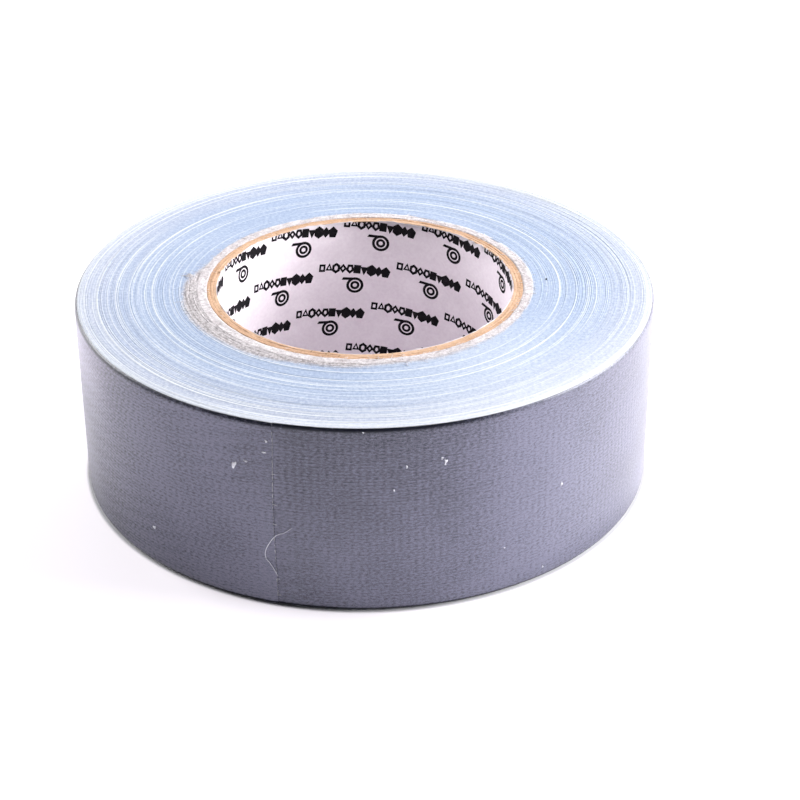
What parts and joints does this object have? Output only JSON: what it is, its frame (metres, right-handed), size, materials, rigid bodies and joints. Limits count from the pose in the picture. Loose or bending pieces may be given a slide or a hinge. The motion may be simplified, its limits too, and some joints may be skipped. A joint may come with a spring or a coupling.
{
  "type": "duct tape roll",
  "caption": "Roll of silver-grey cloth duct tape on a paperboard core with a printed liner; the cut free end lifts and curls off the roll.",
  "frame": {"origin": "on the roll's axis, at the centre of its bottom end face", "axes": "+Z along the roll's axis, up when it lies flat; the tape is wound clockwise from its free end inwards, seen from +Z, and the cut end lies at azimuth -107 degrees, to the front left"},
  "size_m": [0.1481, 0.1479, 0.05],
  "materials": {
    "liner_paper": "matt printed paper",
    "core_board": "matt kraft board",
    "starter_tape": "rough cut edge",
    "tape_edge": "fine ridged cut edge",
    "tape_film": "satin film over a weave",
    "scrim_cloth": "open plain weave",
    "adhesive": "tacky"
  },
  "bodies": {
    "roll": {"core_liner": "liner_paper", "core_inner_ply": "core_board", "core_middle_ply": "core_board", "core_outer_ply": "core_board", "starter_turns": "starter_tape", "wound_turns": "tape_edge", "last_turn_film": "tape_film", "last_turn_scrim": "scrim_cloth", "last_turn_adhesive": "adhesive"},
    "free_end_1": {"free_end_film_1": "tape_film", "free_end_scrim_1": "scrim_cloth", "free_end_adhesive_1": "adhesive"},
    "free_end_2": {"free_end_film_2": "tape_film", "free_end_scrim_2": "scrim_cloth", "free_end_adhesive_2": "adhesive"},
    "free_end_3": {"free_end_film_3": "tape_film", "free_end_scrim_3": "scrim_cloth", "free_end_adhesive_3": "adhesive"},
    "free_end_4": {"free_end_film_4": "tape_film", "free_end_scrim_4": "scrim_cloth", "free_end_adhesive_4": "adhesive"},
    "free_end_5": {"free_end_film_5": "tape_film", "free_end_scrim_5": "scrim_cloth", "free_end_adhesive_5": "adhesive"}
  },
  "joints": [
    {"name": "free_end_peel", "type": "hinge", "parent": "roll", "child": "free_end_1", "pos_m": [-0.05502, -0.0497, 0.025], "axis": [0, 0, -1], "range_deg": [0, 20]},
    {"name": "free_end_curl_2", "type": "hinge", "parent": "free_end_1", "child": "free_end_2", "pos_m": [-0.04935, -0.05534, 0.025], "axis": [0, 0, -1], "range_deg": [0, 24]},
    {"name": "free_end_curl_3", "type": "hinge", "parent": "free_end_2", "child": "free_end_3", "pos_m": [-0.0431, -0.06033, 0.025], "axis": [0, 0, -1], "range_deg": [0, 20]},
    {"name": "free_end_curl_4", "type": "hinge", "parent": "free_end_3", "child": "free_end_4", "pos_m": [-0.03636, -0.06462, 0.025], "axis": [0, 0, -1], "range_deg": [0, 16]},
    {"name": "free_end_curl_5", "type": "hinge", "parent": "free_end_4", "child": "free_end_5", "pos_m": [-0.02919, -0.06816, 0.025], "axis": [0, 0, -1], "range_deg": [0, 12]}
  ],
  "couplings": [
    {"joint": "free_end_curl_2", "follows": "free_end_peel", "ratio": 1.2},
    {"joint": "free_end_curl_3", "follows": "free_end_peel", "ratio": 1},
    {"joint": "free_end_curl_4", "follows": "free_end_peel", "ratio": 0.8},
    {"joint": "free_end_curl_5", "follows": "free_end_peel", "ratio": 0.6}
  ]
}
